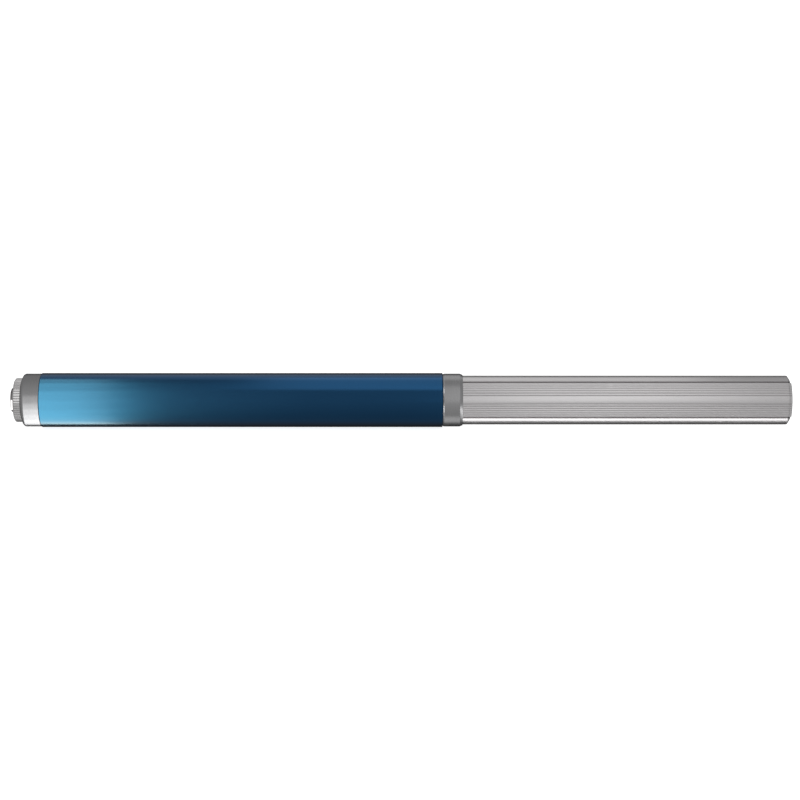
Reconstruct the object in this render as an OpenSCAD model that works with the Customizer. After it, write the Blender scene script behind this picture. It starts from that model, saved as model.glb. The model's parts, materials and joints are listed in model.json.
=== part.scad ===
// Desoldering pump: an aluminium barrel with a keyed, ribbed plunger tube that is pushed in to cock
// the main spring, a rocking trigger that lets it fly back, and a nozzle that draws in through a
// knurled collet clamp. The pump lies along +X with its mouth at the origin.

/* [Barrel] */
// Outside diameter of the barrel
barrel_d = 20; // [19.8:0.1:20.4]
// Bore that the piston runs in
bore_d = 18.3; // [18.28:0.01:18.34]
// Where the barrel starts behind the mouth
barrel_x0 = 11.4; // [11.2:0.1:11.6]
// Where the barrel ends
barrel_x1 = 159.5; // [159.4:0.1:162]

/* [Collars] */
// Outside diameter of the two collars
collar_d = 19.6; // [19.4:0.1:19.8]
// Front face of the front collar
collar_x0 = 4.6; // [4.4:0.1:4.8]
// Length of the visible rear collar
rear_collar_len = 7.4; // [6.5:0.1:9]

/* [Nose] */
// Outside diameter of the knurled clamp ring
ring_d = 16.2; // [15.4:0.1:16.6]
// Number of knurls round the clamp ring
knurl_count = 54; // [40:1:60]
// Outside diameter of the collet
collet_d = 8.8; // [8.4:0.1:9.2]
// Outside diameter of the nozzle
nozzle_d = 5; // [4.6:0.1:5]
// Bore of the nozzle
nozzle_bore_d = 2.6; // [2.2:0.1:3]
// How far the nozzle draws out
nozzle_travel = 20; // [15:1:20]

/* [Plunger] */
// Outside diameter of the ribbed plunger tube
tube_d = 18.1; // [18.04:0.01:18.14]
// Bore of the plunger tube
tube_bore_d = 15.3; // [14.5:0.1:15.6]
// Rear end of the plunger tube
tube_x1 = 286.6; // [270:0.2:290]
// Stroke of the plunger
stroke = 70; // [60:1:70]
// Angle between neighbouring fine grooves
rib_pitch = 5.9; // [5.6:0.1:6.1]

/* [Trigger] */
// Length of the trigger housing
housing_len = 31.6; // [31:0.1:32]
// Width of the trigger housing
housing_w = 9.2; // [8.8:0.1:10]
// Height of the housing's top above the pump's axis
housing_h = 15.3; // [15:0.1:15.6]
// How far the trigger rocks, in degrees
trigger_throw = 9; // [8:0.5:9]

/* [Hidden] */
$fn = 96;

barrel_r = barrel_d / 2;
bore_r = bore_d / 2;
collar_r = collar_d / 2;
tube_r = tube_d / 2;
tube_bore_r = tube_bore_d / 2;
nozzle_r = nozzle_d / 2;
collet_r = collet_d / 2;

// Fits: the gap on radius of a running fit, and of a seated one
running = 0.05;
seated = 0.01;

// Spigots that hold the collars in the barrel's counterbores
spigot_r = 9.54;
front_spigot_x1 = barrel_x0 + 7.8;
rear_spigot_x0 = barrel_x1 - 4.3;
seal_groove = [14.4, 16.2];
front_seal_section = 0.46;

// Clamp ring and collet, one inside the other in the front collar's counterbore
ring_x0 = 1.6;
ring_x1 = collar_x0 - 0.2;
shank_r = 6;
shank_x1 = 9.5;
collet_x0 = 0.2;
collet_x1 = 10.4;
socket_x1 = 10.5;
slit_w = 0.5;
slit_x1 = 7;

// Nozzle: it stops when its flange meets the front collar
flange_r = 4;
flange_t = 2;
flange_x0 = front_spigot_x1 + nozzle_travel + 0.5;
nozzle_x1 = flange_x0 + flange_t;
nozzle_tip_r = 2;
nozzle_taper = 3;
seal_section = 0.78;
nozzle_groove = [12, 13.7];
nozzle_groove_r = 4.1;

// Spring: it bears on a seat washer in front and on the piston behind
seat_t = 1;
spring_r = 7.7;
spring_wire = 1.2;
spring_turns = 17;

// Plunger: piston, tube, tie rod and cap. The nut stays clear of the stowed nozzle at full stroke
piston_x0 = nozzle_x1 + 5.2 + stroke;
piston_x1 = piston_x0 + 9.5;
piston_r = bore_r - running;
piston_spigot = 9;
ring_grooves = [piston_x0 + 1.5, piston_x0 + 5.9];
ring_groove_w = 1.6;
ring_section = 0.63;
ring_r = bore_r - 0.02 - ring_section;
rod_r = 2;
rod_x0 = piston_x0 - 2.4;
rod_x1 = tube_x1 - 3.6;
nut_x0 = piston_x0 - 4.2;
nut_flats = 7;
pin_r = 0.8;
pin_tip_x = stroke - nozzle_travel;
cap_head_t = 1;
cap_plug = 10.6;
cap_r = tube_r - 0.05;
cap_notch = 1.4;

// Rear collar's wiper ring
wiper_x = barrel_x1 + 2.6;
wiper_len = 2.4;
wiper_r = 9.5;

// Ribbed profile: fine grooves in a front and a back panel, a deep groove at each panel's edge
first_rib = 10.5;
ribs_per_side = 6;
rib_w = 0.42;
edge_angle = 46;
edge_w = 0.7;
edge_depth = 0.6;

// Latch: the guide screw and the trigger's tooth run in one channel along the tube's back
channel_w = 3;
channel_floor = tube_r - 1;
guide_x = 131;
guide_r = 1.3;
pivot_x = 146;
pivot_h = 12.4;
trigger_pin_r = 0.75;
tooth_x0 = 152;
tooth_len = 2;
tooth_w = 2.2;
tooth_tip = channel_floor + 0.1;
channel_x0 = guide_x - guide_r - 0.1;
land_x1 = tooth_x0 + stroke - 0.2;
land_x0 = land_x1 - 2;
ramp = 3;
pocket_x1 = land_x1 + 4;
window = [tooth_x0 - 0.4, tooth_x0 + 3];
housing_x0 = 127.6;
housing_x1 = housing_x0 + housing_len;
housing_corner = 1;
// Heights between which a hole goes right through the barrel's wall
drill = [tube_r + 0.01, barrel_r + 1];
housing_drill = [barrel_r - 1, housing_h + 1];
counterbore = [housing_h - 1.6, housing_h + 1];
housing_plan_r = 2.2;
trigger_slot = [133.4, 155];
trigger_slot_w = 5.5;
trigger_w = 5.2;
pad_x = [134.2, 143.2];
pad_h = [barrel_r + (pivot_x - pad_x[0]) * sin(trigger_throw) + 0.35, 16.8];
tail_h = [11.3, 12.9];
pad_spring_x = 137;
pad_spring_r = 1.3;
pad_spring_wire = 0.36;
pad_spring_turns = 6;
pad_pocket_r = 1.7;
pad_pocket_h = 14.7;
screw_x = 157.2;
screw_r = 1;
screw_head_r = 1.8;

// Roll at which the barrel and the housing's rounded edge both touch the bench
corner_h = housing_h - housing_corner;
corner_w = housing_w / 2 - housing_corner;
corner_reach = sqrt(corner_h * corner_h + corner_w * corner_w);
lie_angle = asin((barrel_r - housing_corner) / corner_reach) - atan2(corner_w, corner_h);

blue = "#1f5f8f";
silver = "#b9bbbf";
bright = "#d5d7da";
white = "#f0efe9";
black = "#26272a";
steel = "#8f9196";
brass = "#b8964a";

// Points of an arc about [cx, cy] from angle a0 to a1
function arc(cx, cy, r, a0, a1, n = 6) =
    [for (i = [0:n]) [cx + r * cos(a0 + (a1 - a0) * i / n), cy + r * sin(a0 + (a1 - a0) * i / n)]];

// Height of a spring's wire after t turns: the first and last turns lie flat
function coil_rise(t, turns, wire, length) =
    let (pitch = (length - 3 * wire) / (turns - 2))
    wire / 2 + (t < 1 ? wire * t : t > turns - 1 ? length - 2 * wire + wire * (t - turns + 1)
        : wire + pitch * (t - 1));

module lying() rotate([-lie_angle, 0, 0]) children();

// Local x and y become Y and Z, and local z runs along the pump
module along_pump(x = 0) lying() translate([x, 0, 0]) rotate([90, 0, 90]) children();

// A turned part, from points [radius, distance along the pump]
module turned(points) along_pump() rotate_extrude() polygon(points);

module o_ring(x, ring_radius, section)
    along_pump(x) rotate_extrude() translate([ring_radius, 0]) circle(section, $fn = 32);

// A radial hole or peg on the trigger's side, from one height to another
module radial_rod(x, r, hs)
    lying() translate([x, hs[0], 0]) rotate([-90, 0, 0]) cylinder(r = r, h = hs[1] - hs[0], $fn = 32);

// A block on the trigger's side: x and height ranges, and its width across
module latch_block(xs, hs, w)
    lying() translate([xs[0], hs[0], -w / 2]) cube([xs[1] - xs[0], hs[1] - hs[0], w]);

// A compression spring along local z, standing on the plane z = 0
module coil_spring(coil_r, wire, length, turns, steps, sides) {
    rings = turns * steps;
    points = [for (i = [0:rings]) let (a = 360 * i / steps, h = coil_rise(i / steps, turns, wire, length))
        for (j = [0:sides - 1]) let (b = 360 * j / sides, r = coil_r + wire / 2 * cos(b))
            [r * cos(a), r * sin(a), h + wire / 2 * sin(b)]];
    walls = [for (i = [0:rings - 1], j = [0:sides - 1]) let (k = (j + 1) % sides)
        [i * sides + j, (i + 1) * sides + j, (i + 1) * sides + k, i * sides + k]];
    first = [for (j = [0:sides - 1]) j];
    last = [for (j = [sides - 1:-1:0]) rings * sides + j];
    polyhedron(points, concat(walls, [first, last]), convexity = 10);
}

module barrel() color(blue) difference() {
    edge = 0.2;
    turned([[bore_r, front_spigot_x1 + 0.2], [bore_r, rear_spigot_x0 - 0.2],
        [spigot_r + seated, rear_spigot_x0 - 0.2], [spigot_r + seated, barrel_x1],
        [barrel_r - edge, barrel_x1], [barrel_r, barrel_x1 - edge], [barrel_r, barrel_x0 + edge],
        [barrel_r - edge, barrel_x0], [spigot_r + seated, barrel_x0],
        [spigot_r + seated, front_spigot_x1 + 0.2]]);
    latch_block(window, drill, tooth_w + 0.6);
    radial_rod(guide_x, guide_r + seated, drill);
    radial_rod(screw_x, screw_r + seated, drill);
}

module front_collar() color(silver) {
    fillet = 1.2;
    bore = nozzle_r + 0.1;
    groove_floor = spigot_r - 2 * (front_seal_section + seated);
    turned(concat([[shank_r + running, collar_x0 + 0.3], [shank_r + 0.3, collar_x0]],
        arc(collar_r - fillet, collar_x0 + fillet, fillet, -90, 0),
        [[collar_r, barrel_x0 - 0.15], [collar_r - 0.15, barrel_x0], [spigot_r, barrel_x0],
        [spigot_r, seal_groove[0]], [groove_floor, seal_groove[0]], [groove_floor, seal_groove[1]],
        [spigot_r, seal_groove[1]], [spigot_r, front_spigot_x1], [bore, front_spigot_x1],
        [bore, nozzle_groove[1]], [nozzle_groove_r, nozzle_groove[1]],
        [nozzle_groove_r, nozzle_groove[0]], [bore, nozzle_groove[0]], [bore, socket_x1],
        [shank_r + running, socket_x1]]));
}

module front_seal() color(black)
    o_ring((seal_groove[0] + seal_groove[1]) / 2, spigot_r - front_seal_section - seated,
        front_seal_section);

module clamp_ring() color(silver) {
    bore = collet_r + running;
    chamfer = 0.35;
    head_r = ring_d / 2;
    difference() {
        turned([[bore + 0.2, ring_x0], [head_r - chamfer, ring_x0], [head_r, ring_x0 + chamfer],
            [head_r, ring_x1 - 0.2], [head_r - 0.2, ring_x1], [shank_r, ring_x1],
            [shank_r, shank_x1], [bore, shank_x1], [bore, ring_x0 + 0.2]]);
        along_pump(ring_x0 - 1) linear_extrude(ring_x1 - ring_x0 + 2)
            for (i = [0:knurl_count - 1]) rotate(i * 360 / knurl_count)
                translate([head_r + 0.06, 0]) rotate(45) square(0.56, center = true);
    }
}

module collet() color(bright) difference() {
    round_over = 0.5;
    bore = nozzle_r + running;
    turned(concat([[bore, collet_x0 + 0.2], [bore + 0.2, collet_x0]],
        arc(collet_r - round_over, collet_x0 + round_over, round_over, -90, 0),
        [[collet_r, collet_x1 - 1], [collet_r - 1, collet_x1], [bore, collet_x1]]));
    for (a = [0, 120, 240]) lying() rotate([a, 0, 0])
        translate([collet_x0 - 1, 0, -slit_w / 2]) cube([slit_x1 - collet_x0 + 1, collet_d, slit_w]);
}

module nozzle() color(white) {
    bore = nozzle_bore_d / 2;
    turned([[bore, 0], [nozzle_tip_r, 0], [nozzle_r, nozzle_taper], [nozzle_r, flange_x0],
        [flange_r, flange_x0], [flange_r, nozzle_x1], [bore, nozzle_x1]]);
}

module nozzle_seal() color(black)
    o_ring((nozzle_groove[0] + nozzle_groove[1]) / 2, nozzle_r + 0.02 + seal_section, seal_section);

module spring_seat() color(white)
    turned([[flange_r + 0.5, front_spigot_x1], [bore_r - 0.1, front_spigot_x1],
        [bore_r - 0.1, front_spigot_x1 + seat_t], [flange_r + 0.5, front_spigot_x1 + seat_t]]);

module main_spring() color(steel) {
    x0 = front_spigot_x1 + seat_t;
    along_pump(x0) coil_spring(spring_r, spring_wire, piston_x0 - x0, spring_turns, 18, 6);
}

module rear_collar() color(silver) difference() {
    x1 = barrel_x1 + rear_collar_len;
    nose = 1.1;
    edge = 0.5;
    turned([[bore_r, rear_spigot_x0], [spigot_r, rear_spigot_x0], [spigot_r, barrel_x1],
        [collar_r - 0.3, barrel_x1], [collar_r, barrel_x1 + edge], [collar_r, x1 - nose],
        [collar_r - 0.45, x1], [bore_r + 0.1, x1], [bore_r, x1 - 0.1],
        [bore_r, wiper_x + wiper_len], [wiper_r, wiper_x + wiper_len],
        [wiper_r, wiper_x], [bore_r, wiper_x]]);
    radial_rod(screw_x, screw_r + seated, drill);
}

module wiper_ring() color(white) {
    inner = tube_r + 0.03;
    outer = wiper_r - seated;
    turned([[inner, wiper_x + 0.05], [outer, wiper_x + 0.05], [outer, wiper_x + wiper_len - 0.05],
        [inner, wiper_x + wiper_len - 0.05]]);
}

// Section across the housing: width along local y, height along local x
module housing_section() {
    w = housing_w / 2;
    c = housing_corner;
    polygon(concat([[6, -w]], arc(housing_h - c, -w + c, c, -90, 0), arc(housing_h - c, w - c, c, 0, 90),
        [[6, w]]));
}

// The housing seen from outside: a rectangle with rounded corners
module housing_plan() {
    w = housing_w / 2;
    r = housing_plan_r;
    polygon(concat(arc(r, -w + r, r, 180, 270), arc(housing_len - r, -w + r, r, 270, 360),
        arc(housing_len - r, w - r, r, 0, 90), arc(r, w - r, r, 90, 180)));
}

module trigger_housing() color(silver) difference() {
    intersection() {
        along_pump(housing_x0) linear_extrude(housing_len) housing_section();
        lying() translate([housing_x0, 0, 0]) rotate([-90, 0, 0]) linear_extrude(housing_h + 1)
            housing_plan();
    }
    along_pump(housing_x0 - 1) cylinder(r = barrel_r + 0.02, h = housing_len + 2);
    latch_block(trigger_slot, housing_drill, trigger_slot_w);
    radial_rod(guide_x, guide_r + seated, housing_drill);
    radial_rod(guide_x, screw_head_r + 0.05, counterbore);
    radial_rod(screw_x, screw_r + seated, housing_drill);
    radial_rod(screw_x, screw_head_r + 0.05, counterbore);
    lying() translate([pivot_x, pivot_h, -housing_w / 2 - 1])
        cylinder(r = trigger_pin_r + seated, h = housing_w + 2, $fn = 32);
}

// A socket-head screw: its shank ends at tip, and its head sits in the housing's counterbore
module cap_screw(x, r, tip) difference() {
    union() {
        radial_rod(x, r, [tip, counterbore[0]]);
        radial_rod(x, screw_head_r, [counterbore[0], housing_h - 0.1]);
    }
    lying() translate([x, housing_h - 1, 0]) rotate([-90, 0, 0]) cylinder(r = 0.95, h = 2, $fn = 6);
}

module housing_screw() color(steel) cap_screw(screw_x, screw_r, bore_r + 0.05);

module guide_screw() color(steel) cap_screw(guide_x, guide_r, channel_floor + 0.15);

module trigger() color(black) difference() {
    union() {
        latch_block(pad_x, pad_h, trigger_w);
        latch_block([pad_x[1] - 1, tooth_x0 + tooth_len], tail_h, trigger_w);
        latch_block([tooth_x0, tooth_x0 + tooth_len], [tooth_tip, tail_h[1]], tooth_w);
        lying() translate([pivot_x, pivot_h, -trigger_w / 2]) cylinder(r = 1.7, h = trigger_w);
    }
    // Grip grooves across the thumb pad
    for (i = [0:3]) latch_block([pad_x[0] + 1.6 + 1.9 * i, pad_x[0] + 2.1 + 1.9 * i],
        [pad_h[1] - 0.45, pad_h[1] + 1], trigger_w + 2);
    radial_rod(pad_spring_x, pad_pocket_r, [pad_h[0] - 1, pad_pocket_h]);
    lying() translate([pivot_x, pivot_h, -trigger_w])
        cylinder(r = trigger_pin_r + running, h = 2 * trigger_w, $fn = 32);
}

module trigger_pin() color(steel) lying() translate([pivot_x, pivot_h, -housing_w / 2 + 0.1])
    cylinder(r = trigger_pin_r, h = housing_w - 0.2, $fn = 32);

module trigger_spring() color(steel)
    lying() translate([pad_spring_x, barrel_r + 0.02, 0]) rotate([-90, 0, 0])
        coil_spring(pad_spring_r, pad_spring_wire, pad_pocket_h - barrel_r - 0.04,
            pad_spring_turns, 16, 6);

// Outline shared by the plunger tube and the plate that closes it: the panels face along local
// -x and +x, and the grooves at their edges go notch deep
module ribbed_outline(r, notch) difference() {
    circle(r);
    for (side = [0, 180], hand = [-1, 1]) rotate(side) {
        for (i = [0:ribs_per_side - 1]) rotate(hand * (first_rib + rib_pitch * i))
            translate([r + 0.02, 0]) rotate(45) square(rib_w, center = true);
        rotate(hand * edge_angle) translate([r, 0]) square([2 * notch, edge_w], center = true);
    }
}

module tube_section() difference() {
    ribbed_outline(tube_r, edge_depth);
    circle(tube_bore_r);
}

// The channel ramps up to the land that the tooth climbs, and drops square behind it to catch
module channel() {
    top = tube_r + 1;
    lying() translate([0, 0, -channel_w / 2]) linear_extrude(channel_w) {
        polygon([[channel_x0, top], [channel_x0, channel_floor], [land_x0 - ramp, channel_floor],
            [land_x0, tube_r], [land_x0, top]]);
        polygon([[land_x1, top], [land_x1, channel_floor], [pocket_x1, channel_floor],
            [pocket_x1, top]]);
    }
}

module plunger_tube() color(bright) difference() {
    along_pump(piston_x1) linear_extrude(tube_x1 - piston_x1) tube_section();
    channel();
}

// A plug in the tube's bore, under a plate with the tube's own outline
module end_cap() color(silver) {
    turned([[0, rod_x1 + 0.5], [rod_r + seated, rod_x1 + 0.5], [rod_r + seated, tube_x1 - cap_plug],
        [tube_bore_r - seated, tube_x1 - cap_plug], [tube_bore_r - seated, tube_x1 + cap_head_t / 2],
        [0, tube_x1 + cap_head_t / 2]]);
    along_pump(tube_x1) linear_extrude(cap_head_t) ribbed_outline(cap_r, cap_notch);
}

module tie_rod() color(steel) {
    tip = 0.5;
    turned([[0, rod_x0], [rod_r - tip, rod_x0], [rod_r, rod_x0 + tip], [rod_r, rod_x1 - tip],
        [rod_r - tip, rod_x1], [0, rod_x1]]);
}

module piston() color(brass) {
    front = ring_grooves[0];
    rear = ring_grooves[1];
    floor_r = ring_r - ring_section - seated;
    bore = rod_r + seated;
    turned([[bore, piston_x0], [piston_r - 0.3, piston_x0], [piston_r, piston_x0 + 0.3],
        [piston_r, front], [floor_r, front], [floor_r, front + ring_groove_w],
        [piston_r, front + ring_groove_w], [piston_r, rear], [floor_r, rear],
        [floor_r, rear + ring_groove_w], [piston_r, rear + ring_groove_w], [piston_r, piston_x1],
        [tube_bore_r - seated, piston_x1], [tube_bore_r - seated, piston_x1 + piston_spigot],
        [bore, piston_x1 + piston_spigot]]);
}

module piston_ring(i) color(black)
    o_ring(ring_grooves[i] + ring_groove_w / 2, ring_r, ring_section);

module pin_nut() color(steel) difference() {
    along_pump(nut_x0) cylinder(d = nut_flats / cos(30), h = piston_x0 - nut_x0, $fn = 6);
    along_pump(rod_x0 - seated) cylinder(r = rod_r + seated, h = piston_x0 - rod_x0 + 1);
    along_pump(nut_x0 - 1) cylinder(r = pin_r + seated, h = rod_x0 - nut_x0 + 2, $fn = 32);
}

module cleaning_pin() color(bright) turned([[0, pin_tip_x], [pin_r - 0.3, pin_tip_x],
    [pin_r, pin_tip_x + 0.8], [pin_r, rod_x0 - 0.02], [0, rod_x0 - 0.02]]);

barrel();
front_collar();
front_seal();
clamp_ring();
collet();
nozzle();
nozzle_seal();
spring_seat();
main_spring();
rear_collar();
wiper_ring();
trigger_housing();
housing_screw();
guide_screw();
trigger();
trigger_pin();
trigger_spring();
plunger_tube();
end_cap();
tie_rod();
piston();
piston_ring(0);  // piston_ring_front
piston_ring(1);  // piston_ring_rear
pin_nut();
cleaning_pin();
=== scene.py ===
import json
import math

import bmesh
import bpy
from mathutils import Matrix, Vector


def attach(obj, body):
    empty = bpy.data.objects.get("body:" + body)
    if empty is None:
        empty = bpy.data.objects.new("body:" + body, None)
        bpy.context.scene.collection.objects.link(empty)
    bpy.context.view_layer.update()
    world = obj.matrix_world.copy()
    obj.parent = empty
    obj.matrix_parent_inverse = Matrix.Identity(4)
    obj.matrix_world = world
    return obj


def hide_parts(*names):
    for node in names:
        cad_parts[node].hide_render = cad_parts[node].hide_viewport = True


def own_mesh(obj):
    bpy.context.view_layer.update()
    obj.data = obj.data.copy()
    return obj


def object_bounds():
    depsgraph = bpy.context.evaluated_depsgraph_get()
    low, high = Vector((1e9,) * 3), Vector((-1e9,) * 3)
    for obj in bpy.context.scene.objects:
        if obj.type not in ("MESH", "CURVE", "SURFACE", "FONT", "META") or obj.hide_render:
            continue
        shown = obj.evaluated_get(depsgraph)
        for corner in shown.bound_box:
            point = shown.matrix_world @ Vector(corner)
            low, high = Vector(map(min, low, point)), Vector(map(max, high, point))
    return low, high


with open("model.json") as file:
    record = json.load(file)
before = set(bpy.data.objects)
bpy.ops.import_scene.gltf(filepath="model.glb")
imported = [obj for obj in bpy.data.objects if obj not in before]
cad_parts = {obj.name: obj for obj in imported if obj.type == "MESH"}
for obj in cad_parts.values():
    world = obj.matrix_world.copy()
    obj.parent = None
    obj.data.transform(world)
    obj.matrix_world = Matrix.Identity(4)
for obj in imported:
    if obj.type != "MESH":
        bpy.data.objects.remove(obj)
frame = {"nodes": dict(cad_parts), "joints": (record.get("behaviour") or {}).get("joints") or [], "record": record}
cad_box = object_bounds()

# The pump lies along +X. Shapes are drawn in millimetres in the pump's own axes: x along the pump,
# h out towards the trigger, and w across. The pump is rolled about x, so that it lies on its barrel
# and on the edge of its trigger housing, and every angle round the pump is measured from h.
MM = 0.001
joints = {joint["name"]: joint for joint in frame["joints"]}
rock_axis = joints["trigger_rock"]["axis"]
ROLL = math.atan2(rock_axis[1], rock_axis[2])
TO_FRAME = Matrix.Rotation(-ROLL, 4, "X") @ Matrix.Scale(MM, 4)
FROM_FRAME = TO_FRAME.inverted()
STROKE = joints["plunger_slide"]["range_m"][1] / MM


# ---------------------------------------------------------------- reading the frame

def extent(node):
    """Lowest and highest corner of a CAD node in the pump's own axes, in millimetres."""
    points = [FROM_FRAME @ vertex.co for vertex in frame["nodes"][node].data.vertices]
    low = Vector(min(point[i] for point in points) for i in range(3))
    high = Vector(max(point[i] for point in points) for i in range(3))
    return low, high


def span(node):
    """Where a node starts and ends along the pump."""
    low, high = extent(node)
    return low.x, high.x


def radius(node):
    """Outer radius of a round node on the pump's axis."""
    points = [FROM_FRAME @ vertex.co for vertex in frame["nodes"][node].data.vertices]
    return max(math.hypot(point.y, point.z) for point in points)


# ---------------------------------------------------------------- sizes, in mm and degrees

# The frame gives what it can. The rest follows the CAD model, or is finer detail that it lacks
NOZZLE_R = 2.5
NOZZLE_TIP_R = 2.0
NOZZLE_BORE = next(m for m in frame["record"]["mounts"] if m["name"] == "nozzle_bore")["dims"]["r_mm"]
RING_GAP = 0.2
RING = (span("clamp_ring")[0], span("front_collar")[0] - RING_GAP)
SHANK_R = 6.0
SPIGOT_R = 9.54
SOCKET_X1 = 10.5
SLITS = 3
SLIT_W = 0.5
SLIT_LENGTH = 6.8
KNURLS = 54
KNURL_DEPTH = 0.36
KNURL_EDGE = 0.05
# Half width of a knurl's groove and width of its rounded edge, as shares of the knurls' pitch
KNURL_HALF, KNURL_EDGE_W = 0.14, 0.06
FRONT_SPIGOT_X = span("front_collar")[1]
REAR_SPIGOT_X = span("rear_collar")[0]
TUBE_R = radius("plunger_tube")
TUBE_BORE = 7.65
# Fine grooves on each side of a ribbed panel's middle, by angle
FIRST_RIB, RIB_PITCH, RIBS_PER_SIDE = 10.5, 5.9, 6
RIB_ANGLES = [FIRST_RIB + RIB_PITCH * i for i in range(RIBS_PER_SIDE)]
RIB_HALF, RIB_DEPTH = 1.85, 0.22
# Deep grooves along the panels' edges. The end plate's rim is cut deeper there, and chamfered
EDGE_ANGLE, EDGE_HALF, EDGE_DEPTH = 46, 2.2, 0.6
CAP_NOTCH, CAP_CHAMFER = 1.4, 1.5
GUIDE_X = sum(span("guide_screw")) / 2
SCREW_X = sum(span("housing_screw")) / 2
HEAD_R = (span("guide_screw")[1] - span("guide_screw")[0]) / 2
HEAD_H0 = extent("trigger_housing")[1].y - 1.6
GUIDE_R, SCREW_R = 1.3, 1.0
PIVOT_X = sum(span("trigger_pin")) / 2
PIVOT_H = (extent("trigger_pin")[0].y + extent("trigger_pin")[1].y) / 2
PIN_R = (span("trigger_pin")[1] - span("trigger_pin")[0]) / 2
SPRING_X = sum(span("trigger_spring")) / 2
POCKET_R, POCKET_H = 1.7, 14.7
TOOTH_LENGTH, TOOTH_W = 2, 2.2
TOOTH_X = span("trigger")[1] - TOOTH_LENGTH
PAD_X1, PAD_H0 = 143.2, 12.2
DISH_DEPTH, DISH_STEPS = 0.35, 12
GRIPS, GRIP_PITCH, GRIP_W = 5, 1.35, 0.45
TAIL_H = (11.3, 12.9)
TRIGGER_SLOT, TRIGGER_SLOT_W = (133.4, 155), 5.5
CHANNEL_X = GUIDE_X - GUIDE_R - 0.1
CHANNEL_FLOOR = TUBE_R - 1
CHANNEL_HALF = math.degrees(math.asin(1.5 / TUBE_R))
LAND = (TOOTH_X + STROKE - 2.2, TOOTH_X + STROKE - 0.2)
RAMP = 3
POCKET_X1 = LAND[1] + 4


# ---------------------------------------------------------------- mesh tools

def rounded(corners, steps=5):
    """Points of a closed outline from corners (x, y, fillet), with each corner rounded off."""
    points = []
    for i, (x, y, fillet) in enumerate(corners):
        corner = Vector((x, y))
        if not fillet:
            points.append(corner)
            continue
        before = (Vector(corners[i - 1][:2]) - corner).normalized()
        after = (Vector(corners[(i + 1) % len(corners)][:2]) - corner).normalized()
        half = before.angle(after) / 2
        centre = corner + (before + after).normalized() * fillet / math.sin(half)
        start = corner + before * fillet / math.tan(half) - centre
        end = corner + after * fillet / math.tan(half) - centre
        first = math.atan2(start.y, start.x)
        turn = math.remainder(math.atan2(end.y, end.x) - first, math.tau)
        for k in range(steps + 1):
            angle = first + turn * k / steps
            points.append(centre + fillet * Vector((math.cos(angle), math.sin(angle))))
    return points


def finish_mesh(name, bm, crease=32):
    """A smooth-shaded object from a bmesh drawn in the pump's own axes."""
    bmesh.ops.remove_doubles(bm, verts=bm.verts, dist=1e-4)
    bmesh.ops.dissolve_degenerate(bm, edges=bm.edges, dist=1e-5)
    bmesh.ops.recalc_face_normals(bm, faces=bm.faces)
    bm.transform(TO_FRAME)
    shade(bm, crease)
    mesh = bpy.data.meshes.new(name)
    bm.to_mesh(mesh)
    bm.free()
    piece = bpy.data.objects.new(name, mesh)
    bpy.context.scene.collection.objects.link(piece)
    return piece


def shade(bm, crease):
    """Smooth faces, with edges sharper than crease degrees kept sharp."""
    for face in bm.faces:
        face.smooth = True
    for edge in bm.edges:
        edge.smooth = len(edge.link_faces) == 2 and edge.calc_face_angle(0) < math.radians(crease)


def ring_faces(bm, rings, closed):
    """Faces between rings of vertices, and between the last ring and the first if closed."""
    pairs = list(zip(rings, rings[1:])) + ([(rings[-1], rings[0])] if closed else [])
    for ring, other in pairs:
        for k in range(len(ring)):
            after = (k + 1) % len(ring)
            bm.faces.new((ring[k], ring[after], other[after], other[k]))


def even_angles(count):
    return [math.tau * k / count for k in range(count)]


def revolve(name, outline, angles=None, cut=None):
    """Turns a closed outline of (x, radius) about the pump's axis. cut(x, radius, angle) lowers it."""
    angles = angles or even_angles(192)
    bm = bmesh.new()
    rings = []
    for x, r in outline:
        radii = [cut(x, r, a) if cut else r for a in angles]
        rings.append([bm.verts.new((x, lowered * math.cos(a), lowered * math.sin(a)))
                      for lowered, a in zip(radii, angles)])
    ring_faces(bm, rings, closed=True)
    return finish_mesh(name, bm)


def extrude(name, outline, place, depth):
    """A prism: place turns an outline point and a height into a point in the pump's own axes."""
    bm = bmesh.new()
    rings = [[bm.verts.new(place(p, z)) for p in outline] for z in depth]
    ring_faces(bm, rings, closed=False)
    bm.faces.new(rings[0][::-1])
    bm.faces.new(rings[-1])
    return finish_mesh(name, bm)


def side_view(p, z):
    """Outline in x and h, drawn out along w."""
    return (p[0], p[1], z)


def plan_view(p, z):
    """Outline in x and w, drawn out along h."""
    return (p[0], z, p[1])


def end_view(p, z):
    """Outline in h and w, drawn out along x."""
    return (z, p[0], p[1])


def ring_points(x, y, r, sides):
    """Points of a circle."""
    return [(x + r * math.cos(a), y + r * math.sin(a)) for a in even_angles(sides)]


def rod(name, x, r, heights):
    """A round bar on the trigger's side, standing out from the pump's axis."""
    return extrude(name, ring_points(x, 0, r, 48), plan_view, heights)


def block(name, xs, hs, width):
    """A box between two places along the pump and two heights, centred across it."""
    half = width / 2
    outline = [(xs[0], hs[0]), (xs[1], hs[0]), (xs[1], hs[1]), (xs[0], hs[1])]
    return extrude(name, outline, side_view, (-half, half))


def combine(piece, operation, *tools):
    """Applies boolean operations, and deletes the tools."""
    for tool in tools:
        modifier = piece.modifiers.new("combine", "BOOLEAN")
        modifier.operation = operation
        modifier.solver = "EXACT"
        modifier.object = tool
    bake_modifiers(piece)
    for tool in tools:
        bpy.data.objects.remove(tool)
    return piece


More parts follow.
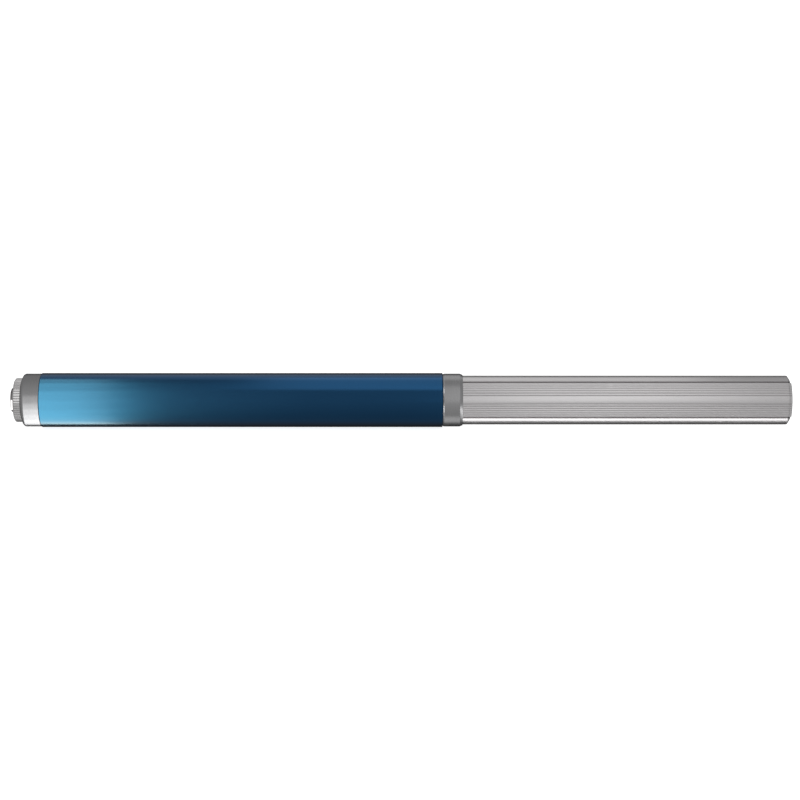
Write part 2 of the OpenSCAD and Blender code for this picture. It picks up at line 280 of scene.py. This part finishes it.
def bake_modifiers(piece, crease=32):
    """Applies a piece's modifiers, and shades the result."""
    graph = bpy.context.evaluated_depsgraph_get()
    mesh = bpy.data.meshes.new_from_object(piece.evaluated_get(graph))
    piece.modifiers.clear()
    bm = bmesh.new()
    bm.from_mesh(mesh)
    bmesh.ops.remove_doubles(bm, verts=bm.verts, dist=1e-4 * MM)
    shade(bm, crease)
    bm.to_mesh(mesh)
    bm.free()
    piece.data = mesh
    return piece


def even_shading(piece):
    """Weights each corner's normal by the areas of its faces, so that broad flat faces look flat."""
    modifier = piece.modifiers.new("even shading", "WEIGHTED_NORMAL")
    modifier.keep_sharp = True
    graph = bpy.context.evaluated_depsgraph_get()
    mesh = bpy.data.meshes.new_from_object(piece.evaluated_get(graph))
    piece.modifiers.clear()
    piece.data = mesh


def soften(piece, width, segments=3, sharper_than=35):
    """Rounds every edge that is sharper than the angle given."""
    modifier = piece.modifiers.new("soften", "BEVEL")
    modifier.width = width * MM
    modifier.segments = segments
    modifier.limit_method = "ANGLE"
    modifier.angle_limit = math.radians(sharper_than)
    modifier.miter_outer = "MITER_ARC"
    modifier.harden_normals = False
    return bake_modifiers(piece, crease=50)


def coil(centre, wire, length, turns, steps=40, sides=14):
    """A compression spring about z with flat ends, from z = 0, as a bmesh. centre is the radius
    to the middle of the wire."""
    pitch = (length - 3 * wire) / (turns - 2)
    bm = bmesh.new()
    rings = []
    for i in range(turns * steps + 1):
        turn = i / steps
        if turn < 1:
            rise = wire * turn
        elif turn > turns - 1:
            rise = length - 2 * wire + wire * (turn - turns + 1)
        else:
            rise = wire + pitch * (turn - 1)
        a = math.tau * turn
        ring = []
        for b in even_angles(sides):
            r = centre + wire / 2 * math.cos(b)
            z = rise + wire / 2 * (1 + math.sin(b))
            ring.append(bm.verts.new((r * math.cos(a), r * math.sin(a), z)))
        rings.append(ring)
    ring_faces(bm, rings, closed=False)
    bm.faces.new(rings[0][::-1])
    bm.faces.new(rings[-1])
    return bm


# ---------------------------------------------------------------- materials

def nodes_of(name):
    """A new material, with its node tree and its shader."""
    material = bpy.data.materials.new(name)
    material.use_nodes = True
    tree = material.node_tree
    return material, tree, tree.nodes["Principled BSDF"]


def stretched(tree, along, across, detail=4.0):
    """Noise whose grain is along mm long on x, and across mm wide over the section."""
    place = tree.nodes.new("ShaderNodeTexCoord")
    stretch = tree.nodes.new("ShaderNodeMapping")
    stretch.inputs["Scale"].default_value = (1 / (along * MM), 1 / (across * MM), 1 / (across * MM))
    noise = tree.nodes.new("ShaderNodeTexNoise")
    noise.inputs["Scale"].default_value = 1.0
    noise.inputs["Detail"].default_value = detail
    tree.links.new(place.outputs["Object"], stretch.inputs["Vector"])
    tree.links.new(stretch.outputs["Vector"], noise.inputs["Vector"])
    return noise.outputs["Fac"]


def spread(tree, value, low, high):
    """Turns noise into a number between low and high."""
    scale = tree.nodes.new("ShaderNodeMapRange")
    scale.inputs["From Min"].default_value = 0.3
    scale.inputs["From Max"].default_value = 0.7
    scale.inputs["To Min"].default_value = low
    scale.inputs["To Max"].default_value = high
    tree.links.new(value, scale.inputs["Value"])
    return scale.outputs["Result"]


def two_tone(tree, value, dark, light):
    """A colour between dark and light, by a value from 0 to 1."""
    mix = tree.nodes.new("ShaderNodeMix")
    mix.data_type = "RGBA"
    mix.inputs["A"].default_value = (*dark, 1)
    mix.inputs["B"].default_value = (*light, 1)
    tree.links.new(value, mix.inputs["Factor"])
    return mix.outputs["Result"]


def bump(tree, value, depth):
    """Raises the surface by up to depth mm."""
    relief = tree.nodes.new("ShaderNodeBump")
    relief.inputs["Distance"].default_value = depth * MM
    relief.inputs["Strength"].default_value = 1.0
    tree.links.new(value, relief.inputs["Height"])
    return relief.outputs["Normal"]


def grained(name, dark, light, roughness, grain, depth, metallic=1.0, coat=0.0, patches=(30, 6)):
    """A finish with fine grain (along, across, in mm) in roughness and bump, and broad patches of colour."""
    material, tree, shader = nodes_of(name)
    fine = stretched(tree, *grain)
    broad = stretched(tree, *patches, detail=2.0)
    shader.inputs["Metallic"].default_value = metallic
    shader.inputs["Coat Weight"].default_value = coat
    shader.inputs["Coat Roughness"].default_value = 0.12
    tree.links.new(two_tone(tree, spread(tree, broad, 0, 1), dark, light), shader.inputs["Base Color"])
    tree.links.new(spread(tree, fine, *roughness), shader.inputs["Roughness"])
    tree.links.new(bump(tree, fine, depth), shader.inputs["Normal"])
    return material


FINISHES = {
    "anodised_blue": grained("blue anodising", (0.0098, 0.050, 0.119), (0.0112, 0.056, 0.131),
                             (0.20, 0.24), (12, 0.1), 0.0005, coat=0.06, patches=(60, 20)),
    "satin_silver": grained("satin turned aluminium", (0.31, 0.31, 0.315), (0.345, 0.345, 0.35),
                            (0.26, 0.32), (0.06, 8), 0.0010, patches=(8, 20)),
    "knurled_silver": grained("knurled aluminium", (0.62, 0.61, 0.61), (0.68, 0.67, 0.67),
                              (0.22, 0.30), (0.3, 0.3), 0.0010, patches=(8, 8)),
    "ribbed_silver": grained("extruded aluminium", (0.60, 0.585, 0.59), (0.65, 0.635, 0.64),
                             (0.25, 0.31), (60, 0.1), 0.0008, patches=(80, 8)),
    "bright_metal": grained("polished metal", (0.22, 0.21, 0.21), (0.26, 0.25, 0.25),
                            (0.05, 0.10), (0.05, 3), 0.0002),
    "white_ptfe": grained("nozzle plastic", (0.80, 0.79, 0.74), (0.86, 0.85, 0.81),
                          (0.36, 0.5), (0.3, 0.6), 0.004, metallic=0.0),
    "black_rubber": grained("seal rubber", (0.012, 0.012, 0.012), (0.022, 0.022, 0.023),
                            (0.5, 0.7), (0.2, 0.2), 0.006, metallic=0.0),
    "spring_steel": grained("spring wire", (0.36, 0.36, 0.37), (0.44, 0.44, 0.45),
                            (0.22, 0.36), (0.8, 0.1), 0.001),
    "screw_steel": grained("screw steel", (0.30, 0.30, 0.31), (0.38, 0.38, 0.39),
                           (0.2, 0.34), (0.1, 0.6), 0.0015),
    "brass": grained("turned brass", (0.62, 0.45, 0.18), (0.70, 0.53, 0.24),
                     (0.2, 0.32), (0.06, 4), 0.002),
    "trigger_black": grained("moulded trigger", (0.016, 0.016, 0.018), (0.026, 0.026, 0.028),
                             (0.42, 0.58), (0.12, 0.12), 0.01, metallic=0.0),
}
SLOT_OF = {part["node"]: part["material_slot"] for part in frame["record"]["subparts"]}


def dress(piece, body, *stands_for):
    """Gives a piece its finish, and lets it ride in place of the CAD nodes it stands for."""
    name = SLOT_OF[stands_for[0]]
    even_shading(piece)
    piece.data.materials.clear()
    piece.data.materials.append(FINISHES[name])
    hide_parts(*stands_for)
    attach(piece, body)
    return piece


# ---------------------------------------------------------------- nose

def make_collet():
    x0, x1 = span("collet")
    outer = radius("collet")
    bore = NOZZLE_R + 0.05
    outline = rounded([(x0, bore, 0.2), (x0, outer, 0.25), (x1, outer, 0.9), (x1, bore, 0)])
    piece = revolve("collet_jaws", outline)
    slits = []
    for a in even_angles(SLITS):
        slit = block("slit", (x0 - 1, x0 + SLIT_LENGTH), (0, outer + 1), SLIT_W)
        slit.data.transform(Matrix.Rotation(a, 4, "X"))
        slits.append(slit)
    combine(piece, "DIFFERENCE", *slits)
    return dress(soften(piece, 0.05, 2), "pump_body", "collet")


def make_clamp_ring():
    x0, x1 = RING
    tail = span("clamp_ring")[1]
    outer = radius("clamp_ring")
    bore = radius("collet") + 0.05

    def knurl(x, r, angle):
        """A crest with rounded edges, and a V-shaped groove between it and the next."""
        off = abs(angle * KNURLS / math.tau % 1 - 0.5)
        groove = KNURL_DEPTH - (KNURL_DEPTH - KNURL_EDGE) * min(1, off / KNURL_HALF)
        groove -= KNURL_EDGE * min(1, max(0, off - KNURL_HALF) / KNURL_EDGE_W)
        return r - groove * min(1, max(0, r - outer + 1))

    outline = rounded([(x0, bore, 0.15), (x0, outer - 0.45, 0), (x0 + 0.4, outer, 0.12),
                       (x1 - 0.12, outer, 0.05), (x1, outer - 0.12, 0), (x1, SHANK_R, 0),
                       (tail, SHANK_R, 0.3), (tail, bore, 0)])
    flank = KNURL_HALF + KNURL_EDGE_W
    phases = (0, 0.5 - flank, 0.5 - KNURL_HALF, 0.5, 0.5 + KNURL_HALF, 0.5 + flank)
    angles = [math.tau * (i + phase) / KNURLS for i in range(KNURLS) for phase in phases]
    piece = revolve("knurled_ring", outline, angles, knurl)
    return dress(piece, "clamp", "clamp_ring")


def make_nozzle():
    x0, x1 = span("nozzle")
    flange = radius("nozzle")
    taper, flange_length = 3, 2
    flange_x0 = x1 - flange_length
    outline = rounded([(x0, NOZZLE_BORE, 0.12), (x0, NOZZLE_TIP_R, 0.2), (x0 + taper, NOZZLE_R, 0.8),
                       (flange_x0, NOZZLE_R, 0), (flange_x0, flange, 0.2), (x1, flange, 0.2),
                       (x1, NOZZLE_BORE, 0.2)])
    return dress(revolve("nozzle_tube", outline), "nozzle", "nozzle")


def make_front_collar():
    x0, tail = span("front_collar")
    outer = radius("front_collar")
    barrel_x0 = span("barrel")[0]
    bore = NOZZLE_R + 0.1
    seal, lip = sum(span("front_seal")) / 2, sum(span("nozzle_seal")) / 2
    seal_half, seal_floor = 0.9, SPIGOT_R - 0.94
    lip_half, lip_floor = 0.85, 4.1
    outline = rounded([(x0, SHANK_R + 0.05, 0.25), (x0, outer, 1.25), (barrel_x0, outer, 0.18),
                       (barrel_x0, SPIGOT_R, 0), (seal - seal_half, SPIGOT_R, 0),
                       (seal - seal_half, seal_floor, 0), (seal + seal_half, seal_floor, 0),
                       (seal + seal_half, SPIGOT_R, 0), (tail, SPIGOT_R, 0.2), (tail, bore, 0),
                       (lip + lip_half, bore, 0), (lip + lip_half, lip_floor, 0),
                       (lip - lip_half, lip_floor, 0), (lip - lip_half, bore, 0), (SOCKET_X1, bore, 0),
                       (SOCKET_X1, SHANK_R + 0.05, 0)], steps=8)
    return dress(revolve("front_collar_shell", outline, even_angles(256)), "pump_body", "front_collar")


# ---------------------------------------------------------------- barrel

def make_barrel():
    x0, x1 = span("barrel")
    outer = radius("barrel")
    bore = radius("piston") + 0.05
    counterbore = SPIGOT_R + 0.01
    step_x0, step_x1 = FRONT_SPIGOT_X + 0.2, REAR_SPIGOT_X - 0.2
    outline = rounded([(x0, counterbore, 0), (x0, outer, 0.22), (x1, outer, 0.22), (x1, counterbore, 0),
                       (step_x1, counterbore, 0), (step_x1, bore, 0),
                       (step_x0, bore, 0), (step_x0, counterbore, 0)])
    piece = revolve("barrel_tube", outline, even_angles(256))
    through = (bore - 1, outer + 1)
    tools = [rod("hole", GUIDE_X, GUIDE_R + 0.01, through), rod("hole", SCREW_X, SCREW_R + 0.01, through),
             block("window", (TOOTH_X - 0.4, TOOTH_X + 3), through, TOOTH_W + 0.6)]
    return dress(combine(piece, "DIFFERENCE", *tools), "pump_body", "barrel")


def make_rear_collar():
    x0, x1 = span("rear_collar")
    outer = radius("rear_collar")
    barrel_x1 = span("barrel")[1]
    bore = radius("piston") + 0.05
    wiper_x0, wiper_x1 = span("wiper_ring")
    outline = rounded([(x0, bore, 0), (x0, SPIGOT_R, 0), (barrel_x1, SPIGOT_R, 0),
                       (barrel_x1, outer - 0.25, 0.04), (barrel_x1 + 0.6, outer, 0.08),
                       (x1 - 1.1, outer, 0.25), (x1, outer - 0.45, 0.12), (x1, bore, 0.08),
                       (wiper_x1 + 0.05, bore, 0), (wiper_x1 + 0.05, SPIGOT_R - 0.04, 0),
                       (wiper_x0 - 0.05, SPIGOT_R - 0.04, 0), (wiper_x0 - 0.05, bore, 0)])
    piece = revolve("rear_collar_shell", outline, even_angles(256))
    combine(piece, "DIFFERENCE", rod("hole", SCREW_X, SCREW_R + 0.01, (bore - 1, outer + 1)))
    return dress(piece, "pump_body", "rear_collar")


# ---------------------------------------------------------------- plunger

def panel_angle(angle):
    """Degrees from the middle of the nearer ribbed panel."""
    return abs(math.degrees(math.remainder(angle, math.pi)))


def section_angles():
    """Angles round the tube: even ones, and closer ones at each groove's corners and floor."""
    marks = set(range(0, 91, 3))
    for rib in RIB_ANGLES:
        marks = {m for m in marks if abs(m - rib) > RIB_HALF + 0.35}
        marks |= {rib + off * side for off in (0, 0.5, 1.3, RIB_HALF) for side in (-1, 1)}
    marks = {m for m in marks if abs(m - EDGE_ANGLE) > 3}
    marks |= {EDGE_ANGLE + off * side for off in (0, 1, 2.15, 2.3, 2.5) for side in (-1, 1)}
    marks |= {CHANNEL_HALF + off for off in (-0.08, 0.08)}
    full = {m * side + turn for m in marks for side in (-1, 1) for turn in (0, 180)}
    return [math.radians(m) for m in sorted({round(m % 360, 4) for m in full})]


def groove_depth(angle, deep):
    """How far the surface is cut down at an angle, with the deep grooves as deep as given."""
    off = panel_angle(angle)
    near = min(abs(off - rib) for rib in RIB_ANGLES)
    if near < RIB_HALF:
        t = near / RIB_HALF
        return RIB_DEPTH * (1 - t * t * (3 - 2 * t))
    if abs(off - EDGE_ANGLE) < EDGE_HALF:
        return deep
    return 0.0


def channel_floor(x):
    """Height of the channel's floor along the tube's back, or None where there is no channel."""
    if CHANNEL_X <= x <= LAND[0]:
        rise = max(0, x - LAND[0] + RAMP) / RAMP
        return CHANNEL_FLOOR + (TUBE_R - CHANNEL_FLOOR) * rise
    if LAND[1] <= x <= POCKET_X1:
        return CHANNEL_FLOOR
    return None


def make_plunger_tube():
    x0, x1 = span("plunger_tube")

    def cut(x, r, angle):
        """The grooves all along, and the trigger's channel on the back. The bore stays round."""
        if r < TUBE_BORE + 0.6:
            return r
        lowered = r - groove_depth(angle, EDGE_DEPTH)
        floor = channel_floor(x)
        back = abs(math.degrees(math.remainder(angle, math.tau)))
        if floor and back < CHANNEL_HALF:
            lowered = min(lowered, floor / math.cos(angle))
        return lowered

    step = 0.001
    stations = (CHANNEL_X - step, CHANNEL_X, LAND[0] - RAMP, LAND[0], LAND[1] - step, LAND[1],
                POCKET_X1, POCKET_X1 + step)
    outline = [(x0, TUBE_BORE), (x0, TUBE_R), *[(x, TUBE_R) for x in stations],
               (x1 - 0.22, TUBE_R), (x1 - 0.06, TUBE_R - 0.06), (x1, TUBE_R - 0.22), (x1, TUBE_BORE)]
    return dress(revolve("ribbed_tube", outline, section_angles(), cut), "plunger", "plunger_tube")


def make_end_cap():
    x0, x1 = span("end_cap")
    tube_x1 = span("plunger_tube")[1]
    outer = TUBE_R - 0.05
    plug = TUBE_BORE - 0.01
    rod_x1 = span("tie_rod")[1] + 0.5

    def cut(x, r, angle):
        """The tube's grooves in the rim, which is also chamfered outside the two ribbed panels."""
        if r < outer - 0.5:
            return r
        chamfer = CAP_CHAMFER * max(0, x - tube_x1 - 0.1) if panel_angle(angle) > EDGE_ANGLE else 0
        return r - max(groove_depth(angle, CAP_NOTCH), chamfer)

    outline = [(x0, 2.01), (x0, plug - 0.3), (x0 + 0.3, plug), (tube_x1, plug), (tube_x1, outer - 0.1),
               (tube_x1 + 0.1, outer), (x1 - 0.25, outer), (x1 - 0.07, outer - 0.07), (x1, outer - 0.25),
               (x1, plug - 0.4), (x1, 5), (x1, 2), (x1, 0), (rod_x1, 0), (rod_x1, 2.01)]
    return dress(revolve("end_plate", outline, section_angles(), cut), "plunger", "end_cap")


# ---------------------------------------------------------------- trigger

def make_housing():
    x0, x1 = span("trigger_housing")
    low, high = extent("trigger_housing")
    half = high.z
    top = high.y
    barrel = radius("barrel") + 0.02
    foot = 6
    section = rounded([(foot, -half, 0), (top, -half, 1), (top, half, 1), (foot, half, 0)], steps=8)
    plan = rounded([(x0, -half, 2.2), (x1, -half, 2.2), (x1, half, 2.2), (x0, half, 2.2)], steps=10)
    piece = extrude("latch_housing", plan, plan_view, (foot, top + 1))
    combine(piece, "INTERSECT", extrude("section", section, end_view, (x0 - 1, x1 + 1)))
    through = (barrel - 3, top + 2)
    seat = (HEAD_H0, top + 2)
    slot_x0, slot_x1 = TRIGGER_SLOT
    slot_half = TRIGGER_SLOT_W / 2
    slot = rounded([(slot_x0, -slot_half, 0.5), (slot_x1, -slot_half, 0.5),
                    (slot_x1, slot_half, 0.5), (slot_x0, slot_half, 0.5)])
    combine(piece, "DIFFERENCE",
            extrude("barrel_space", ring_points(0, 0, barrel, 256), end_view, (x0 - 2, x1 + 2)),
            extrude("slot", slot, plan_view, through),
            rod("hole", GUIDE_X, HEAD_R + 0.05, seat), rod("hole", SCREW_X, HEAD_R + 0.05, seat),
            rod("hole", GUIDE_X, GUIDE_R + 0.01, through), rod("hole", SCREW_X, SCREW_R + 0.01, through),
            extrude("pin_hole", ring_points(PIVOT_X, PIVOT_H, PIN_R + 0.01, 40), side_view,
                    (-half - 1, half + 1)))
    return dress(soften(piece, 0.12, 3), "pump_body", "trigger_housing")


def make_screw(name, node, x, r):
    """A cap screw with a hexagon socket."""
    low, high = extent(node)
    tip, top = low.y, high.y
    socket_r, socket_depth = 0.95, 0.9
    floor = top - socket_depth
    profile = rounded([(tip, 0, 0), (tip, r, 0.15), (HEAD_H0, r, 0), (HEAD_H0, HEAD_R, 0.08),
                       (top, HEAD_R, 0.25), (top, 1.15, 0.06), (floor, 1.05, 0), (floor, 0, 0)])
    bm = bmesh.new()
    rings = []
    for h, around_axis in profile:
        in_socket = 0 < around_axis < 1.3 and h > HEAD_H0 + 0.3
        ring = []
        for a in even_angles(60):
            hexagon = socket_r * math.cos(math.pi / 6) / math.cos(math.remainder(a, math.pi / 3))
            across = hexagon if in_socket else around_axis
            ring.append(bm.verts.new((x + across * math.cos(a), h, across * math.sin(a))))
        rings.append(ring)
    ring_faces(bm, rings, closed=False)
    return dress(finish_mesh(name, bm), "pump_body", node)


def make_trigger():
    low, high = extent("trigger")
    x0, x1 = low.x, high.x
    half = high.z
    pad_high = high.y
    tail_low, tail_high = TAIL_H
    # Side view: a thumb pad, dished along its length, and a tail that reaches back over the tooth
    dish = []
    for k in range(1, DISH_STEPS):
        share = k / DISH_STEPS
        dish_x = PAD_X1 - 0.5 - (PAD_X1 - x0 - 1) * share
        dish.append((dish_x, pad_high - DISH_DEPTH * math.sin(math.pi * share), 0))
    outline = rounded([(x0, PAD_H0, 0.35), (PAD_X1, PAD_H0, 0), (PAD_X1, tail_low, 0.1), (x1, tail_low, 0.1),
                       (x1, tail_high, 0.5), (PAD_X1 + 1.4, tail_high, 1.0), (PAD_X1, pad_high - 0.3, 0.3),
                       *dish, (x0, pad_high - 0.1, 0.5)])
    piece = extrude("trigger_lever", outline, side_view, (-half, half))
    boss = ring_points(PIVOT_X, PIVOT_H, 1.7, 48)
    combine(piece, "UNION", extrude("boss", boss, side_view, (-half + 0.01, half - 0.01)),
            block("tooth", (TOOTH_X, TOOTH_X + TOOTH_LENGTH), (low.y, tail_low + 0.3), TOOTH_W))
    grips = []
    for i in range(GRIPS):
        grip_x = x0 + 1.5 + GRIP_PITCH * i
        grips.append(block("grip", (grip_x, grip_x + GRIP_W), (pad_high - 0.75, pad_high + 1), 2 * half + 2))
    pin_hole = ring_points(PIVOT_X, PIVOT_H, PIN_R + 0.05, 40)
    combine(piece, "DIFFERENCE", *grips, rod("pocket", SPRING_X, POCKET_R, (PAD_H0 - 2, POCKET_H)),
            extrude("pin_hole", pin_hole, side_view, (-half - 1, half + 1)))
    return dress(soften(piece, 0.1, 3), "trigger", "trigger")


def make_trigger_pin():
    low, high = extent("trigger_pin")
    half = high.z
    outline = rounded([(-half, 0, 0), (-half, PIN_R, 0.12), (half, PIN_R, 0.12), (half, 0, 0)])
    bm = bmesh.new()
    rings = [[bm.verts.new((x, h, w)) for x, h in ring_points(PIVOT_X, PIVOT_H, r, 40)] for w, r in outline]
    ring_faces(bm, rings, closed=False)
    return dress(finish_mesh("pivot_pin", bm), "pump_body", "trigger_pin")


# ---------------------------------------------------------------- springs

def make_main_spring():
    x0, x1 = span("main_spring")
    bm = coil(7.7, 1.2, x1 - x0, 17)
    bm.transform(Matrix.Translation((x0, 0, 0)) @ Matrix.Rotation(math.pi / 2, 4, "Y"))
    piece = dress(finish_mesh("main_spring_coil", bm, crease=60), "pump_body", "main_spring")
    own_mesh(piece)
    return piece


def make_trigger_spring():
    low, high = extent("trigger_spring")
    bm = coil(1.3, 0.36, high.y - low.y, 6, steps=28, sides=10)
    bm.transform(Matrix.Translation((SPRING_X, low.y, 0)) @ Matrix.Rotation(-math.pi / 2, 4, "X"))
    piece = dress(finish_mesh("trigger_return_coil", bm, crease=60), "pump_body", "trigger_spring")
    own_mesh(piece)
    return piece


# ---------------------------------------------------------------- making the pieces

collet = make_collet()
clamp_ring = make_clamp_ring()
make_nozzle()
front_collar = make_front_collar()
barrel = make_barrel()
rear_collar = make_rear_collar()
tube = make_plunger_tube()
end_plate = make_end_cap()
make_housing()
make_screw("rear_cap_screw", "housing_screw", SCREW_X, SCREW_R)
make_screw("front_cap_screw", "guide_screw", GUIDE_X, GUIDE_R)
make_trigger()
make_trigger_pin()
make_main_spring()
make_trigger_spring()

# Inner pieces keep their CAD shape, and take the same finishes
for node in ("front_seal", "nozzle_seal", "spring_seat", "wiper_ring", "tie_rod", "piston",
             "piston_ring_front", "piston_ring_rear", "pin_nut", "cleaning_pin"):
    inner = frame["nodes"][node]
    inner.data.materials.clear()
    inner.data.materials.append(FINISHES[SLOT_OF[node]])


# ---------------------------------------------------------------- floor, lights and camera

MIDDLE = Vector(((cad_box[0].x + cad_box[1].x) / 2, 0, 0))
FLOOR_Z = cad_box[0].z
FLOOR_GLOW = 0.85
CAMERA_DISTANCE = 0.794
LENS = 96.5
# The sky's darkest side is behind the pump and below it. Its grey levels are by angle from there
SKY_DARKEST = 215
SKY = ((20, 0.03), (42, 0.16), (65, 0.40), (95, 0.43), (120, 0.49), (145, 0.56), (170, 0.60))
PANEL_DISTANCE = 0.25
GLOW = 9
GLOW_X = -0.036
GLOW_LENGTH = 0.08
# Strength of each glow panel, from the lowest one upward
GLOW_SHARES = (1.05, 1.1, 1.0, 0.9, 0.7)
GLOW_LOWEST = -80
GLOW_STEP = 40
GLOW_TOP_AT = 111
GLOW_TOP_HEIGHT = 0.088
GLOW_TOP_SHARE = 0.45
GLOW_COLOUR = (1, 0.87, 0.57)


def make_floor():
    bm = bmesh.new()
    bmesh.ops.create_grid(bm, x_segments=2, y_segments=2, size=20)
    bm.transform(Matrix.Translation((0, 0, FLOOR_Z)))
    mesh = bpy.data.meshes.new("floor")
    bm.to_mesh(mesh)
    bm.free()
    floor = bpy.data.objects.new("floor", mesh)
    bpy.context.scene.collection.objects.link(floor)
    material, tree, shader = nodes_of("pale floor")
    shader.inputs["Base Color"].default_value = (0.9, 0.9, 0.9, 1)
    shader.inputs["Roughness"].default_value = 0.9
    shader.inputs["Specular IOR Level"].default_value = 0.0
    shader.inputs["Emission Color"].default_value = (1, 1, 1, 1)
    shader.inputs["Emission Strength"].default_value = FLOOR_GLOW
    floor.data.materials.append(material)
    floor.visible_glossy = False
    floor.visible_diffuse = False
    floor.visible_shadow = False


def area_light(name, place, size, power, target=MIDDLE, colour=(1, 1, 1)):
    """A soft rectangular light at a place in metres, which faces a target and isn't seen itself."""
    light = bpy.data.lights.new(name, "AREA")
    light.shape = "RECTANGLE"
    light.size, light.size_y = size
    light.energy = power
    light.color = colour
    lamp = bpy.data.objects.new(name, light)
    bpy.context.scene.collection.objects.link(lamp)
    lamp.location = place
    lamp.rotation_euler = (target - lamp.location).to_track_quat("-Z", "Y").to_euler()
    lamp.visible_camera = False
    return lamp


def around(x, distance, elevation):
    """A point at a distance from the pump's axis; elevation 0 is level with it, on the front side."""
    e = math.radians(elevation)
    return Vector((x, -distance * math.cos(e), distance * math.sin(e)))


def receivers(name, pieces):
    """A collection for lights that light only these pieces."""
    only = bpy.data.collections.new(name)
    for piece in pieces:
        only.objects.link(piece)
    return only


def panel(name, x, elevation, size, brightness, only=None, colour=(1, 1, 1), distance=PANEL_DISTANCE):
    """A soft panel square on to the pump's axis. Its brightness is what a mirror would show of it."""
    power = brightness * math.pi * size[0] * size[1]
    lamp = area_light(name, around(x, distance, elevation), size, power, Vector((x, 0, 0)), colour)
    if only:
        lamp.light_linking.receiver_collection = only
    return lamp


def light_barrel(piece):
    """Soft panels in an arc round the front of the barrel's nose end, weaker above."""
    only = receivers("barrel_only", [piece])
    side = 2 * PANEL_DISTANCE * math.tan(math.radians(GLOW_STEP / 2))
    for k, share in enumerate(GLOW_SHARES):
        panel("barrel_glow_%d" % k, GLOW_X, GLOW_LOWEST + GLOW_STEP * k, (GLOW_LENGTH, side),
              GLOW * share, only, GLOW_COLOUR)
    panel("barrel_glow_top", GLOW_X, GLOW_TOP_AT, (GLOW_LENGTH, GLOW_TOP_HEIGHT), GLOW * GLOW_TOP_SHARE,
          only, GLOW_COLOUR)


def light_nose(disc, ring, collar):
    """White from below on the collar and the polished disc, and from above on the knurled ring."""
    collar_only = receivers("front_collar_only", [collar])
    for elevation, brightness in ((24, 0.6), (-8, 1.5), (-36, 2.2), (-64, 2.5), (-92, 3.0)):
        panel("collar_low_%d" % -elevation, -0.02, elevation, (0.1, 0.14), brightness, collar_only)
    panel("ring_high", -0.04, 45, (0.1, 0.4), 0.5, receivers("clamp_ring_only", [ring]))
    panel("disc_low", -0.02, -38, (0.08, 0.42), 6.0, receivers("collet_only", [disc]), distance=0.12)


def light_rear(barrel_piece, collar, tube):
    """Soft strips along the top, a bright one under the tube, and glints on the rear collar's edges."""
    behind_nose = receivers("behind_nose", [barrel_piece, collar, *tube])
    panel("back_top", 0.08, 138, (0.42, 0.16), 0.40, behind_nose)
    barrel_only = receivers("barrel_high_only", [barrel_piece])
    panel("barrel_high", 0.15, 100, (0.16, 0.45), 0.9, barrel_only, distance=0.35)
    panel("under_tube", 0.10, -80, (0.5, 0.08), 2.0, receivers("tube_only", tube))
    edge = receivers("rear_collar_only", [collar])
    panel("edge_left_high", -0.09, 100, (0.08, 0.5), 3, edge)
    panel("edge_left_low", -0.09, -50, (0.08, 0.5), 4, edge)
    panel("edge_right_low", 0.42, -50, (0.12, 0.4), 2.0, edge)
    panel("rear_low", 0.16, -72, (0.10, 0.16), 0.5, edge)


def make_world():
    """White to the camera. Reflections see it brightest in front, and dark under the pump's back."""
    world = bpy.data.worlds.new("studio")
    world.use_nodes = True
    tree = world.node_tree
    shown = tree.nodes["Background"]
    place = tree.nodes.new("ShaderNodeTexCoord")
    facing = tree.nodes.new("ShaderNodeVectorMath")
    facing.operation = "DOT_PRODUCT"
    facing.inputs[1].default_value = -around(0, 1, SKY_DARKEST)
    tree.links.new(place.outputs["Generated"], facing.inputs[0])
    half = tree.nodes.new("ShaderNodeMapRange")
    half.inputs["From Min"].default_value = -1
    tree.links.new(facing.outputs["Value"], half.inputs["Value"])
    ramp = tree.nodes.new("ShaderNodeValToRGB")
    for element in list(ramp.color_ramp.elements)[1:]:
        ramp.color_ramp.elements.remove(element)
    for k, (angle, level) in enumerate(SKY):
        at = (1 - math.cos(math.radians(angle))) / 2
        element = ramp.color_ramp.elements[0] if k == 0 else ramp.color_ramp.elements.new(at)
        element.position = at
        element.color = (level, level, level, 1)
    tree.links.new(half.outputs["Result"], ramp.inputs["Fac"])
    sky = tree.nodes.new("ShaderNodeBackground")
    tree.links.new(ramp.outputs["Color"], sky.inputs["Color"])
    shown.inputs["Color"].default_value = (1, 1, 1, 1)
    path = tree.nodes.new("ShaderNodeLightPath")
    mix = tree.nodes.new("ShaderNodeMixShader")
    tree.links.new(path.outputs["Is Camera Ray"], mix.inputs["Fac"])
    tree.links.new(sky.outputs["Background"], mix.inputs[1])
    tree.links.new(shown.outputs["Background"], mix.inputs[2])
    tree.links.new(mix.outputs["Shader"], tree.nodes["World Output"].inputs["Surface"])
    bpy.context.scene.world = world


def make_camera():
    lens = bpy.data.cameras.new("camera")
    lens.sensor_width = 36
    lens.lens = LENS
    camera = bpy.data.objects.new("camera", lens)
    bpy.context.scene.collection.objects.link(camera)
    back = Vector((0, -math.cos(ROLL), math.sin(ROLL)))
    camera.location = MIDDLE + back * CAMERA_DISTANCE
    camera.rotation_euler = (-back).to_track_quat("-Z", "Y").to_euler()
    bpy.context.scene.camera = camera


make_floor()
panel("overhead", 0.25, 50, (0.12, 0.5), 0.55, distance=0.35)
light_barrel(barrel)
light_nose(collet, clamp_ring, front_collar)
light_rear(barrel, rear_collar, [tube, end_plate])
make_world()
make_camera()
bpy.context.scene.view_settings.view_transform = "Standard"
